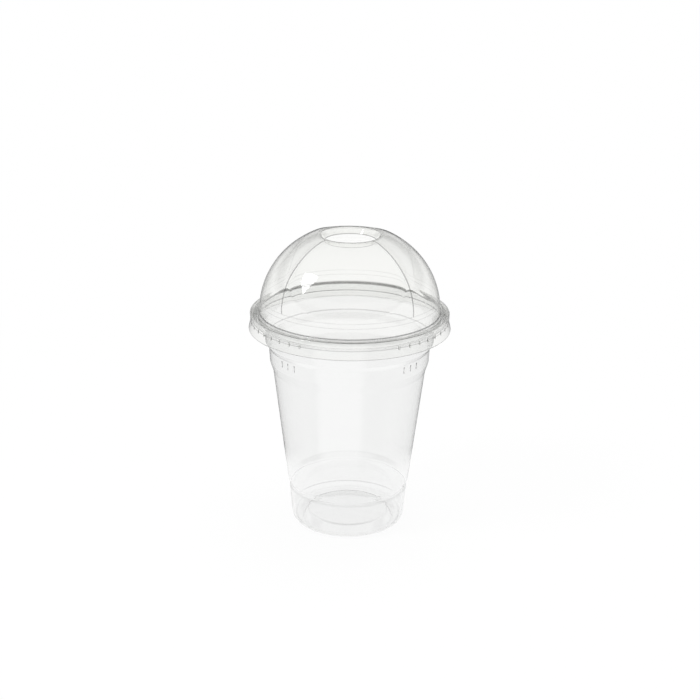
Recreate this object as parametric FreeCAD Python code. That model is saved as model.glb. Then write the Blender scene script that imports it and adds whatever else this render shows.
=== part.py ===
import FreeCAD, Part
import math
import os

# Clear disposable cup with a domed lid, in millimetres
# Origin at the centre of the foot, +Z up, front towards -Y

# Cup, radii on the outer face
cup_wall = 0.25
rim_radius = 47.5
rim_width = 3.6
rim_height = 3.6
rim_flat = 0.3
rim_return = 1.2
flare_width = 3.0
flare_height = 2.0
neck_height = 8.6
neck_draft = 0.25
shoulder_width = 1.7
shoulder_height = 2.7
collar_height = 7.3
collar_draft = 0.45
step_width = 1.55
step_height = 4.8
body_height = 57.6
body_bottom_radius = 30.1
groove_depth = 1.5
groove_height = 4.4
groove_floor_height = 1.1
heel_inset = 0.8
heel_height = 18.2
heel_draft = 1.45
heel_bend = 4.5
foot_ring_width = 5.5
foot_slope_width = 2.5
base_lift = 4.5
shoulder_bend = 1.2

# Stacking ribs on the collar, in two groups as far left and right of the front
stack_ribs_per_group = 3
stack_rib_group_angle = 48.0
stack_rib_spacing = 6.5
stack_rib_height = 3.2
stack_rib_drop = 0.9
stack_rib_width = 0.8
stack_rib_proud = 0.2

# Lid, radii on the outer face
lid_wall = 0.25
seat_clearance = 0.2
skirt_clearance = 0.3
skirt_snap_height = 3.9
skirt_flare = 0.9
skirt_flare_height = 4.1
flange_overhang = 0.3
dome_root_inset = 4.4
dome_root_draft = 0.25
dome_root_height = 5.2
dome_ring_inset = 0.1
dome_ring_height = 2.3
panel_inset = 0.15
panel_count = 4
panel_axis_offset = 11.0
panel_bulge = 1.0
crease_land = 0.3
dome_height = 30.55
crest_panel_radius = 15.5
crest_radius = 14.4
hole_radius = 12.4
lip_depth = 3.05

# Snap ribs on the lid's skirt, in two groups as far left and right of the front
snap_ribs_per_group = 8
snap_rib_group_angle = 53.0
snap_rib_spacing = 7.0
snap_rib_width = 1.2
snap_rib_height = 2.0
snap_rib_proud = 0.15

# Heights and radii that follow from the sizes above
foot_radius = body_bottom_radius - heel_inset - heel_draft
groove_top = heel_height + groove_height
body_top = groove_top + body_height
step_top = body_top + step_height
collar_top = step_top + collar_height
shoulder_top = collar_top + shoulder_height
neck_top = shoulder_top + neck_height
rim_bottom = neck_top + flare_height
rim_top = rim_bottom + rim_height
rim_root_radius = rim_radius - rim_width + cup_wall
neck_top_radius = rim_root_radius - flare_width
neck_radius = neck_top_radius - neck_draft
collar_top_radius = neck_radius - shoulder_width
collar_radius = collar_top_radius - collar_draft
body_top_radius = collar_radius - step_width

flange_top = rim_top + seat_clearance + lid_wall
skirt_radius = rim_radius + skirt_clearance + lid_wall
skirt_snap = flange_top - skirt_snap_height
skirt_bottom = skirt_snap - skirt_flare_height
dome_root_radius = skirt_radius - dome_root_inset
dome_ring_low_radius = dome_root_radius - dome_root_draft
dome_ring_radius = dome_ring_low_radius - dome_ring_inset
dome_ring_low = flange_top + dome_root_height
dome_base = dome_ring_low + dome_ring_height
panel_base_radius = dome_ring_radius - panel_inset
crest = dome_base + dome_height
lip_bottom = crest - lip_depth

# How far cutting solids reach past the piece, and the shortest edge that is drawn
margin = 5.0
crest_margin = 1.0
shortest_edge = 1e-6
wide_radius = skirt_radius + skirt_flare + margin + 2 * panel_axis_offset

# Angle of the front, and of a whole turn
front = -90
turn = 360


def point(r, z):
    return FreeCAD.Vector(r, 0, z)


def left_normal(a, b):
    along = (b - a).normalize()
    return FreeCAD.Vector(-along.z, 0, along.x)


def shifted_corners(corners, wall):
    """Corner points of the sheet's other face, one wall to the left of the path."""
    places = [corner[0] for corner in corners]
    normals = [left_normal(a, b) for a, b in zip(places, places[1:])]
    moved = [places[0] + normals[0] * wall]
    for place, before, after in zip(places[1:-1], normals, normals[1:]):
        moved.append(place + (before + after) * (wall / (1 + before.dot(after))))
    moved.append(places[-1] + normals[-1] * wall)
    return moved


def turns_left(a, b, c):
    return (b - a).cross(c - b).y < 0


def bend_radii(corners, wall, shifted):
    """Radius of each bend on one face: the given one inside a bend, a wall more outside it."""
    places = [corner[0] for corner in corners]
    radii = [0.0]
    for i in range(1, len(corners) - 1):
        bend = corners[i][1]
        inner_face = turns_left(*places[i - 1:i + 2]) == shifted
        radii.append(bend if inner_face or bend == 0 else bend + wall)
    return radii + [0.0]


def rounded_edges(places, radii):
    """Lines between the places, with a tangent arc at each one that has a radius."""
    edges = []
    start = places[0]
    for i in range(1, len(places) - 1):
        here = places[i]
        back = (places[i - 1] - here).normalize()
        ahead = (places[i + 1] - here).normalize()
        half = back.getAngle(ahead) / 2
        if radii[i] == 0:
            edges.append(Part.LineSegment(start, here).toShape())
            start = here
            continue
        reach = radii[i] / math.tan(half)
        middle = (back + ahead).normalize() * (radii[i] / math.sin(half) - radii[i])
        arc_start, arc_end = here + back * reach, here + ahead * reach
        edges.append(Part.LineSegment(start, arc_start).toShape())
        edges.append(Part.Arc(arc_start, here + middle, arc_end).toShape())
        start = arc_end
    edges.append(Part.LineSegment(start, places[-1]).toShape())
    return edges


def face_edges(corners, wall, shifted):
    """Edges of the path's own face of the sheet, or of the face that is shifted to the left."""
    places = shifted_corners(corners, wall) if shifted else [corner[0] for corner in corners]
    return rounded_edges(places, bend_radii(corners, wall, shifted))


def end_points(edges):
    return edges[0].valueAt(edges[0].FirstParameter), edges[-1].valueAt(edges[-1].LastParameter)


def revolved(edges):
    """Solid that a closed section sweeps out round the cup's axis."""
    face = Part.Face(Part.Wire(Part.__sortEdges__(edges)))
    solid = face.revolve(FreeCAD.Vector(0, 0, 0), FreeCAD.Vector(0, 0, 1), turn)
    return solid if solid.Volume > 0 else solid.reversed()


def sheet_of_revolution(corners, wall):
    """Thin wall that follows a path from the axis outwards."""
    outer = face_edges(corners, wall, False)
    inner = face_edges(corners, wall, True)
    outer_start, outer_end = end_points(outer)
    inner_start, inner_end = end_points(inner)
    ends = [Part.LineSegment(outer_start, inner_start).toShape(),
            Part.LineSegment(outer_end, inner_end).toShape()]
    return revolved(outer + inner + ends)


def core_of_revolution(edges, drop):
    """Solid between the axis and a face that runs from its lowest point up to its top."""
    low, high = end_points(edges)
    corners = [high, point(0, high.z), point(0, low.z - drop), point(low.x, low.z - drop), low]
    sides = [Part.LineSegment(a, b).toShape() for a, b in zip(corners, corners[1:])
             if (a - b).Length > shortest_edge]
    return revolved(edges + sides)


def circle_through(a, b, c):
    """Centre and radius of the circle through three points of the section."""
    circle = Part.Circle(a, b, c)
    return circle.Center, circle.Radius


def cup_path():
    """Outer face of the cup from the middle of its base to the end of the rolled rim."""
    foot_inner = foot_radius - foot_ring_width
    rim_bend = rim_width / 2 - cup_wall - rim_flat / 2
    groove_floor = body_bottom_radius - groove_depth
    return [
        (point(0, base_lift), 0),
        (point(foot_inner - foot_slope_width, base_lift), 0),
        (point(foot_inner, 0), 0),
        (point(foot_radius, 0), heel_bend),
        (point(body_bottom_radius - heel_inset, heel_height), 0),
        (point(groove_floor, heel_height + groove_floor_height), 0),
        (point(body_bottom_radius, groove_top), 0),
        (point(body_top_radius, body_top), 0),
        (point(collar_radius, step_top), 0),
        (point(collar_top_radius, collar_top), 0),
        (point(neck_radius, shoulder_top), shoulder_bend),
        (point(neck_top_radius, neck_top), 0),
        (point(rim_root_radius, rim_bottom), 0),
        (point(rim_root_radius, rim_top - cup_wall), rim_bend),
        (point(rim_radius - cup_wall, rim_top - cup_wall), rim_bend),
        (point(rim_radius - cup_wall, rim_top - rim_height + cup_wall), rim_bend),
        (point(rim_radius - cup_wall - rim_bend - rim_return / 2, rim_top - rim_height + cup_wall), 0),
    ]


def rib_angles(group_angle, count, spacing):
    """Angle of each rib of a group to the left of the front and its twin to the right."""
    offsets = [(i - (count - 1) / 2) * spacing for i in range(count)]
    return [front + side * group_angle + offset for side in (-1, 1) for offset in offsets]


def stack_rib(angle):
    """Upright rib that hangs from the top of the collar, sunk in it by half the wall."""
    depth = stack_rib_proud + cup_wall / 2
    rib = Part.makeBox(depth, stack_rib_width, stack_rib_height)
    rib.translate(FreeCAD.Vector(collar_top_radius - cup_wall / 2, -stack_rib_width / 2,
                                 collar_top - stack_rib_drop - stack_rib_height))
    lean = math.degrees(math.atan2(collar_draft, collar_height))
    rib.rotate(point(collar_top_radius, collar_top), FreeCAD.Vector(0, 1, 0), lean)
    rib.rotate(FreeCAD.Vector(0, 0, 0), FreeCAD.Vector(0, 0, 1), angle)
    return rib


def stack_ribs():
    angles = rib_angles(stack_rib_group_angle, stack_ribs_per_group, stack_rib_spacing)
    return [stack_rib(angle) for angle in angles]


def make_cup():
    wall = sheet_of_revolution(cup_path(), cup_wall)
    return wall.fuse(stack_ribs()).removeSplitter()


def lid_path():
    """Outer face of the lid from the skirt's lower edge to the lower edge of the hole's lip.
    Above the ring it is the box that the dome is cut from."""
    return [
        point(skirt_radius + skirt_flare, skirt_bottom),
        point(skirt_radius, skirt_snap),
        point(skirt_radius + flange_overhang, flange_top),
        point(dome_root_radius, flange_top),
        point(dome_ring_low_radius, dome_ring_low),
        point(dome_ring_radius, dome_base),
        point(dome_ring_radius, crest),
        point(crest_radius, crest),
        point(hole_radius, lip_bottom),
    ]


def dome_form(centre, radius, start_z, axis_shift, direction):
    """Domed form, wide below its start, about an axis shifted back from the panel it makes."""
    start_r = centre.x + math.sqrt(radius ** 2 - (start_z - centre.z) ** 2)
    rise = min(crest + crest_margin - centre.z, radius)
    top = centre + point(math.sqrt(radius ** 2 - rise ** 2), rise)
    mid_angle = (math.atan2(start_z - centre.z, start_r - centre.x)
                 + math.atan2(top.z - centre.z, top.x - centre.x)) / 2
    middle = centre + point(math.cos(mid_angle), math.sin(mid_angle)) * radius
    shift = point(axis_shift, 0)
    start = point(start_r, start_z)
    floor = skirt_bottom - margin
    arc = Part.Arc(start + shift, middle + shift, top + shift).toShape()
    corners = [top + shift, point(0, top.z), point(0, floor), point(wide_radius, floor),
               point(wide_radius, start_z), start + shift]
    sides = [Part.LineSegment(a, b).toShape() for a, b in zip(corners, corners[1:])]
    form = revolved([arc] + sides)
    form.translate(FreeCAD.Vector(-axis_shift, 0, 0))
    form.rotate(FreeCAD.Vector(0, 0, 0), FreeCAD.Vector(0, 0, 1), direction)
    return form


def panel_middle():
    """Point half way up a panel's middle, outside a dome that is round about the cup's axis."""
    low_r, high_r = panel_base_radius, crest_panel_radius
    round_centre = (crest ** 2 + high_r ** 2 - dome_base ** 2 - low_r ** 2) / (2 * (crest - dome_base))
    round_radius = math.hypot(low_r, dome_base - round_centre)
    middle_z = (dome_base + crest) / 2
    return point(math.sqrt(round_radius ** 2 - (middle_z - round_centre) ** 2) + panel_bulge, middle_z)


def panel_circle():
    """Circle that a panel's middle follows."""
    return circle_through(point(panel_base_radius, dome_base), panel_middle(), point(crest_panel_radius, crest))


def crease_radius(panel_radius):
    """Distance from the cup's axis to where two neighbouring panels meet."""
    half_turn = math.pi / panel_count
    across = panel_axis_offset * math.sin(half_turn)
    return (math.sqrt((panel_radius + panel_axis_offset) ** 2 - across ** 2)
            - panel_axis_offset * math.cos(half_turn))


def crease_circle():
    """Circle of the narrow land that blunts the creases and brings them in at the ring."""
    middle = panel_middle()
    low = point(dome_ring_radius + panel_inset, dome_base)
    high = point(crease_radius(crest_panel_radius) - crease_land, crest)
    return circle_through(low, point(crease_radius(middle.x) - crease_land, middle.z), high)


def domed_core(shifted):
    """Solid inside the lid's outer face, or inside its inner face when shifted by the wall."""
    drop = margin if shifted else 0
    core = core_of_revolution(face_edges([(place, 0) for place in lid_path()], lid_wall, shifted), drop)
    inset = lid_wall if shifted else 0
    centre, radius = crease_circle()
    forms = [dome_form(centre, radius - inset, dome_base, 0, 0)]
    centre, radius = panel_circle()
    panel_start = flange_top + dome_root_height / 2
    for i in range(panel_count):
        direction = i * turn / panel_count
        forms.append(dome_form(centre, radius - inset, panel_start, panel_axis_offset, direction))
    for form in forms:
        core = core.common(form)
    return core


def snap_ribs():
    """Small upright ribs on the outside of the skirt, sunk in it by half the wall."""
    ribs = []
    low = skirt_snap - snap_rib_height / 2
    for angle in rib_angles(snap_rib_group_angle, snap_ribs_per_group, snap_rib_spacing):
        rib = Part.makeBox(snap_rib_proud + lid_wall / 2, snap_rib_width, snap_rib_height)
        rib.translate(FreeCAD.Vector(skirt_radius - lid_wall / 2, -snap_rib_width / 2, low))
        rib.rotate(FreeCAD.Vector(0, 0, 0), FreeCAD.Vector(0, 0, 1), angle)
        ribs.append(rib)
    return ribs


def make_lid():
    hole = Part.makeCylinder(hole_radius, lip_depth + 2 * margin, point(0, lip_bottom - margin))
    shell = domed_core(False).cut(domed_core(True)).cut(hole)
    return shell.fuse(snap_ribs()).removeSplitter()


def save(name, shape):
    solids = shape.Solids
    print(name, "solids", len(solids), "valid", shape.isValid(), "volume", round(shape.Volume, 1),
          "box", [round(v, 2) for v in (shape.BoundBox.XMin, shape.BoundBox.XMax, shape.BoundBox.YMin,
                                        shape.BoundBox.YMax, shape.BoundBox.ZMin, shape.BoundBox.ZMax)])
    shape.exportStep("parts/" + name + ".step")


os.makedirs("parts", exist_ok=True)
save("cup", make_cup())
save("dome_lid", make_lid())
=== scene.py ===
"""Clear cold-drink cup with a four-panelled dome lid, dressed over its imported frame."""
import logging
import math
from dataclasses import dataclass, field
from enum import Enum
from functools import partial

import bmesh
import bpy
from mathutils import Matrix, Vector


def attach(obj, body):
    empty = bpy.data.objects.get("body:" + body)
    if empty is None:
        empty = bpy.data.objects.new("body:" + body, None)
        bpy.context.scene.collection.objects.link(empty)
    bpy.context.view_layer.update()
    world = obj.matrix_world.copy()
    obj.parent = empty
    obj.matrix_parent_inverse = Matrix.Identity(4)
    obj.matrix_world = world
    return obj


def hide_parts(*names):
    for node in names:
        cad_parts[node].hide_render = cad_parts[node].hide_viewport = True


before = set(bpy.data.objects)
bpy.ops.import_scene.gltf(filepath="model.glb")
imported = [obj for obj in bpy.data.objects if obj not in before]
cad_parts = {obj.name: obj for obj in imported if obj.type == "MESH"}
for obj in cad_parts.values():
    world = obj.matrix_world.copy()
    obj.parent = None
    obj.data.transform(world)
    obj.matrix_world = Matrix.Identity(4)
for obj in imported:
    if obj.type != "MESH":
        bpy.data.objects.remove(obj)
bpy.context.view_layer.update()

log = logging.getLogger("clear_cup")

Point = tuple[float, float]
Span = tuple[float, float]
Corner = tuple[float, float, float]

MM = 0.001
# Points of a turned sheet that are closer than this are one.
WELD = 0.001 * MM
# A stretch of a section that is shorter than this, in metres, gets no points.
NO_LENGTH = 1e-7
# Angle of the front about the upright axis.
FRONT = -math.pi / 2
# Size of the patches in which the sheet was drawn more or less, as patches per metre.
DRAWN_PATCHES = 40.0
# Where the painted shade of a bend turns from its front strength to its back strength, in shares of the
# ring's radius.
FRONT_TO_BACK: Span = (-0.3, 0.3)


class Side(Enum):
    """The two faces of a formed sheet, with the share of the wall that each stands off its middle."""

    OUTER = 0.5
    INNER = -0.5


class LampKind(Enum):
    """Where a studio lamp stands."""

    KEY = "key softbox"
    TOP = "overhead softbox"
    FILL = "fill panel"


# Nodes and objects


def add_sockets(tree: bpy.types.NodeTree, side: str, kind: str, *labels: str) -> None:
    """Add sockets of one kind to a group.

    Args:
        tree: The group's tree.
        side: INPUT or OUTPUT.
        kind: What the sockets carry, such as Float or Geometry.
        labels: Names of the sockets.
    """
    for label in labels:
        tree.interface.new_socket(label, in_out=side, socket_type="NodeSocket" + kind)


def number_socket(tree: bpy.types.NodeTree, label: str, kind: str, value: float) -> None:
    """Add an input to a geometry tree.

    Args:
        tree: The tree.
        label: Name of the input.
        kind: Float or Int.
        value: Value where nothing else is set.
    """
    socket = tree.interface.new_socket(label, in_out="INPUT", socket_type="NodeSocket" + kind)
    socket.default_value = value


def feed(tree: bpy.types.NodeTree, slot: bpy.types.NodeSocket, value: object) -> None:
    """Link a socket to a node's input, or set the input where the value is a number."""
    if isinstance(value, bpy.types.NodeSocket):
        tree.links.new(value, slot)
    else:
        slot.default_value = value


def math_node(tree: bpy.types.NodeTree, operation: str, *values: object) -> bpy.types.NodeSocket:
    """Add a Math node and feed it.

    Args:
        tree: The tree.
        operation: The node's operation.
        values: Sockets to link or numbers to set, in the order of the node's inputs.

    Returns:
        The node's result.
    """
    node = tree.nodes.new("ShaderNodeMath")
    node.operation = operation
    for slot, value in zip(node.inputs, values):
        feed(tree, slot, value)
    return node.outputs[0]


def soft_ramp(tree: bpy.types.NodeTree, value: bpy.types.NodeSocket, span: tuple[object, object],
              levels: tuple[object, object]) -> bpy.types.NodeSocket:
    """Add a soft change between two levels while a value runs through a span.

    Args:
        tree: The tree.
        value: The value.
        span: Where the change starts and ends, as sockets or numbers.
        levels: The level before and after the change, as sockets or numbers.

    Returns:
        The level.
    """
    node = tree.nodes.new("ShaderNodeMapRange")
    node.interpolation_type = "SMOOTHSTEP"
    tree.links.new(value, node.inputs["Value"])
    for label, limit in zip(("From Min", "From Max", "To Min", "To Max"), (*span, *levels)):
        feed(tree, node.inputs[label], limit)
    return node.outputs["Result"]


def bare_material(name: str) -> bpy.types.Material:
    """Make a material that holds nothing but its output node."""
    material = bpy.data.materials.new(name)
    material.use_nodes = True
    material.node_tree.nodes.remove(material.node_tree.nodes["Principled BSDF"])
    return material


def scene_object(name: str, data: bpy.types.ID) -> bpy.types.Object:
    """Put data into the scene as an object of its own."""
    thing = bpy.data.objects.new(name, data)
    bpy.context.scene.collection.objects.link(thing)
    return thing


# Finishes


@dataclass(frozen=True)
class BendShade:
    """Ring of painted shade along a tight bend of the sheet, standing in for the dark line that light bent
    by the sheet shows there.

    Args:
        radius: Radius of the ring, in metres.
        height: Height of the ring, in metres.
        width: How far from the ring the painted shade reaches, in metres.
        strength: Share of the painted shade on the ring itself, at the back.
        front_strength: The same at the front, where the bend is seen from outside.
        change: Where front turns to back, as a share of the radius behind the axis.
    """

    radius: float
    height: float
    width: float
    strength: float
    front_strength: float
    change: float = 0.0


@dataclass(frozen=True)
class CreaseShade:
    """Painted shade along evenly spaced upright creases of the sheet, standing in for the dark lines that
    light bent by the sheet shows there.

    Args:
        count: How many creases there are.
        turn: Angle half way between two of them, in radians.
        low: Height at which they start, in metres.
        inner_radius: Distance from the axis at which they end, in metres.
        width: How far from a crease the painted shade reaches, in metres.
        strength: Share of the painted shade on the crease itself, at the front.
        back_strength: The same at the back.
    """

    count: int
    turn: float
    low: float
    inner_radius: float
    width: float
    strength: float
    back_strength: float


@dataclass(frozen=True)
class ClearSheet:
    """Finish of clear thermoformed PET sheet, with painted shade at its edges, along its tight turns and
    along its creases.

    Args:
        name: Name of the material.
        tint: Colour that the sheet takes from what is seen through it.
        edge_shade_tint: Painted shade where the sheet is seen along its face, standing in for the dark
            edges that light bent by the sheet shows.
        refraction: Index of refraction.
        haze: Lowest roughness of the surface.
        haze_spread: How much roughness is added where the sheet was drawn most.
        ripple: Height of the soft waves that forming leaves, in metres.
        ripple_size: Waves per metre.
        bend_shade_tint: Colour of the painted shade along tight turns and creases of the sheet, standing in
            for the dark lines that light bent by the sheet shows.
        shade_rings: Rings of painted shade along tight turns of the sheet.
        creases: Painted shade along the sheet's upright creases, if it has any.
        edge_range: How far the face is turned away where the painted edge shade starts and where it is
            whole.
    """

    name: str
    tint: tuple[float, float, float]
    edge_shade_tint: tuple[float, float, float]
    refraction: float
    haze: float
    haze_spread: float
    ripple: float
    ripple_size: float
    bend_shade_tint: tuple[float, float, float]
    shade_rings: tuple[BendShade, ...]
    creases: CreaseShade | None = None
    edge_range: Span = (0.7, 0.97)

    def build(self) -> bpy.types.Material:
        """Make the material.

        Returns:
            The material, with its Principled shader fed by the formed sheet group.
        """
        material = bpy.data.materials.new(self.name)
        material.use_nodes = True
        tree = material.node_tree
        shader = tree.nodes["Principled BSDF"]
        shader.inputs["IOR"].default_value = self.refraction
        shader.inputs["Transmission Weight"].default_value = 1.0
        shader.inputs["Metallic"].default_value = 0.0
        place = tree.nodes.new("ShaderNodeTexCoord")
        surface = tree.nodes.new("ShaderNodeGroup")
        surface.node_tree = formed_sheet_group()
        surface.inputs["Ripple Size"].default_value = self.ripple_size
        surface.inputs["Haze"].default_value = self.haze
        surface.inputs["Haze Spread"].default_value = self.haze_spread
        bump = tree.nodes.new("ShaderNodeBump")
        bump.inputs["Distance"].default_value = self.ripple
        # painted shade: the base colour darkens where the sheet is seen along its face, standing in for the
        # dark edges that bent light shows
        facing = tree.nodes.new("ShaderNodeLayerWeight")
        grazing = soft_ramp(tree, facing.outputs["Facing"], self.edge_range, (0.0, 1.0))
        edge_shaded = tree.nodes.new("ShaderNodeMix")
        edge_shaded.data_type = "RGBA"
        edge_shaded.inputs["A"].default_value = (*self.tint, 1.0)
        edge_shaded.inputs["B"].default_value = (*self.edge_shade_tint, 1.0)
        # painted shade: the base colour darkens along the tight turns and creases, standing in for the dark
        # lines that bent light shows
        bent = tree.nodes.new("ShaderNodeMix")
        bent.data_type = "RGBA"
        bent.inputs["B"].default_value = (*self.bend_shade_tint, 1.0)
        tree.links.new(grazing, edge_shaded.inputs["Factor"])
        tree.links.new(self.bend_shade_share(tree, place.outputs["Object"]), bent.inputs["Factor"])
        tree.links.new(edge_shaded.outputs["Result"], bent.inputs["A"])
        tree.links.new(bent.outputs["Result"], shader.inputs["Base Color"])
        tree.links.new(place.outputs["Object"], surface.inputs["Position"])
        tree.links.new(surface.outputs["Height"], bump.inputs["Height"])
        tree.links.new(bump.outputs["Normal"], shader.inputs["Normal"])
        tree.links.new(surface.outputs["Roughness"], shader.inputs["Roughness"])
        return material

    def bend_shade_share(self, tree: bpy.types.NodeTree, position: bpy.types.NodeSocket) -> bpy.types.NodeSocket:
        """Add the nodes for the painted shade along the tight turns and creases.

        Args:
            tree: The material's tree.
            position: Place on the sheet in the object's own coordinates.

        Returns:
            The strength of the strongest painted shade at the place.
        """
        share = tree.nodes.new("ShaderNodeValue").outputs[0]
        share.default_value = 0.0
        for bend in self.shade_rings:
            ring = tree.nodes.new("ShaderNodeGroup")
            ring.node_tree = bend_shade_group()
            ring.inputs["Ring Radius"].default_value = bend.radius
            ring.inputs["Ring Height"].default_value = bend.height
            ring.inputs["Width"].default_value = bend.width
            ring.inputs["Strength"].default_value = bend.strength
            ring.inputs["Front Strength"].default_value = bend.front_strength
            ring.inputs["Change"].default_value = bend.change
            tree.links.new(position, ring.inputs["Position"])
            share = math_node(tree, "MAXIMUM", share, ring.outputs["Share"])
        if self.creases:
            share = math_node(tree, "MAXIMUM", share, self.crease_shade_share(tree, position, self.creases))
        return share

    @staticmethod
    def crease_shade_share(tree: bpy.types.NodeTree, position: bpy.types.NodeSocket,
                     creases: CreaseShade) -> bpy.types.NodeSocket:
        """Add the nodes for the painted shade along the creases.

        Args:
            tree: The material's tree.
            position: Place on the sheet in the object's own coordinates.
            creases: The painted shade along the creases.

        Returns:
            The strength of the painted shade of the nearest crease at the place.
        """
        calc = partial(math_node, tree)
        split = tree.nodes.new("ShaderNodeSeparateXYZ")
        tree.links.new(position, split.inputs[0])
        x, y, z = split.outputs
        half = math.pi / creases.count
        angle = calc("SUBTRACT", calc("ARCTAN2", y, x), creases.turn)
        folded = calc("ABSOLUTE", calc("WRAP", angle, half, -half))
        radius = calc("SQRT", calc("ADD", calc("POWER", x, 2.0), calc("POWER", y, 2.0)))
        away = calc("MULTIPLY", calc("SUBTRACT", half, folded), radius)
        near = soft_ramp(tree, away, (0.0, creases.width), (1.0, 0.0))
        on_dome = calc("MULTIPLY", calc("GREATER_THAN", z, creases.low),
                       calc("GREATER_THAN", radius, creases.inner_radius))
        behind = calc("MULTIPLY", calc("GREATER_THAN", y, 0.0), creases.back_strength - creases.strength)
        strength = calc("MULTIPLY", on_dome, calc("ADD", behind, creases.strength))
        return calc("MULTIPLY", near, strength)


@dataclass(frozen=True)
class SweepFloor:
    """Pale seamless floor that stays white to the eye and keeps a faint shadow.

    Args:
        name: Name of the material.
        paint: Colour of the floor under the lamps.
        shadow_share: How much of the lit paint shows beside plain white under the object.
        shadow_reach: Distance from the object at which only plain white is left, in metres.
        dark_mirrored: Brightness of the floor where the sheet mirrors it beside the bright places.
        side_mirrored: The same at the left, at the right and far away.
        near_reach: Distances at which the bright floor close to the object starts and ends to fade.
        strip_reach: The same for the bright strip in front of the object.
        strip_direction: Way from the object along the strip.
        strip_edge: Cosines of the angle from that way at which the strip is gone and at which it is whole.
        side_direction: Way from the object to the right side, mirrored for the left side.
        side_edge: Cosines for the sides, as for the strip.
        far_reach: Distances at which the floor far away starts to show and is whole.
    """

    name: str
    paint: tuple[float, float, float]
    shadow_share: float
    shadow_reach: float
    dark_mirrored: float
    side_mirrored: float
    near_reach: Span = (0.07, 0.105)
    strip_reach: Span = (0.3, 0.6)
    strip_direction: Point = (-0.225, -0.974)
    strip_edge: Span = (0.76, 0.92)
    side_direction: Point = (0.95, 0.31)
    side_edge: Span = (0.3, 0.8)
    far_reach: Span = (0.18, 0.35)

    def build(self) -> bpy.types.Material:
        """Make the material.

        Returns:
            The material, a mix of lit paint and plain white that depends on the kind of ray.
        """
        material = bare_material(self.name)
        tree = material.node_tree
        output = tree.nodes["Material Output"]
        paint = tree.nodes.new("ShaderNodeBsdfDiffuse")
        paint.inputs["Color"].default_value = (*self.paint, 1.0)
        white = tree.nodes.new("ShaderNodeEmission")
        mirrored = tree.nodes.new("ShaderNodeEmission")
        seen = tree.nodes.new("ShaderNodeMixShader")
        place = tree.nodes.new("ShaderNodeTexCoord")
        away = tree.nodes.new("ShaderNodeVectorMath")
        away.operation = "LENGTH"
        share = soft_ramp(tree, away.outputs["Value"], (self.shadow_reach / 4, self.shadow_reach),
                          (self.shadow_share, 0.0))
        path = tree.nodes.new("ShaderNodeLightPath")
        straight = math_node(tree, "MAXIMUM", path.outputs["Is Camera Ray"],
                             path.outputs["Is Transmission Ray"])
        by_eye = tree.nodes.new("ShaderNodeMixShader")
        by_gloss = tree.nodes.new("ShaderNodeMixShader")
        link = tree.links.new
        link(place.outputs["Object"], away.inputs[0])
        link(share, seen.inputs["Fac"])
        level = self.mirrored_level(tree, place.outputs["Object"], away.outputs["Value"])
        link(level, mirrored.inputs["Strength"])
        link(white.outputs[0], seen.inputs[1])
        link(paint.outputs[0], seen.inputs[2])
        link(path.outputs["Is Glossy Ray"], by_gloss.inputs["Fac"])
        link(paint.outputs[0], by_gloss.inputs[1])
        link(mirrored.outputs[0], by_gloss.inputs[2])
        link(straight, by_eye.inputs["Fac"])
        link(by_gloss.outputs[0], by_eye.inputs[1])
        link(seen.outputs[0], by_eye.inputs[2])
        link(by_eye.outputs[0], output.inputs["Surface"])
        return material

    def mirrored_level(self, tree: bpy.types.NodeTree, place: bpy.types.NodeSocket,
                       away: bpy.types.NodeSocket) -> bpy.types.NodeSocket:
        """Add the nodes for the floor's brightness where the sheet mirrors it.

        Args:
            tree: The material's tree.
            place: Place on the floor.
            away: Distance from the object.

        Returns:
            Brightness: white close to the object and in a strip in front of it, dim elsewhere.
        """
        def towards(x: float, y: float) -> bpy.types.NodeSocket:
            """Cosine between the way to a place and a direction on the floor."""
            unit = tree.nodes.new("ShaderNodeVectorMath")
            unit.operation = "NORMALIZE"
            tree.links.new(place, unit.inputs[0])
            dot = tree.nodes.new("ShaderNodeVectorMath")
            dot.operation = "DOT_PRODUCT"
            dot.inputs[1].default_value = Vector((x, y, 0.0)).normalized()
            tree.links.new(unit.outputs[0], dot.inputs[0])
            return dot.outputs["Value"]

        ramp = partial(soft_ramp, tree)
        dim = (0.0, self.side_mirrored)
        side_x, side_y = self.side_direction
        near = ramp(away, self.near_reach, (1.0, self.dark_mirrored))
        along_strip = ramp(towards(*self.strip_direction), self.strip_edge, (0.0, 1.0))
        strip = math_node(tree, "MULTIPLY", along_strip, ramp(away, self.strip_reach, (1.0, 0.0)))
        left = ramp(towards(-side_x, side_y), self.side_edge, dim)
        right = ramp(towards(side_x, side_y), self.side_edge, dim)
        far = ramp(away, self.far_reach, dim)
        level = near
        for other in (strip, left, right, far):
            level = math_node(tree, "MAXIMUM", level, other)
        return level


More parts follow.
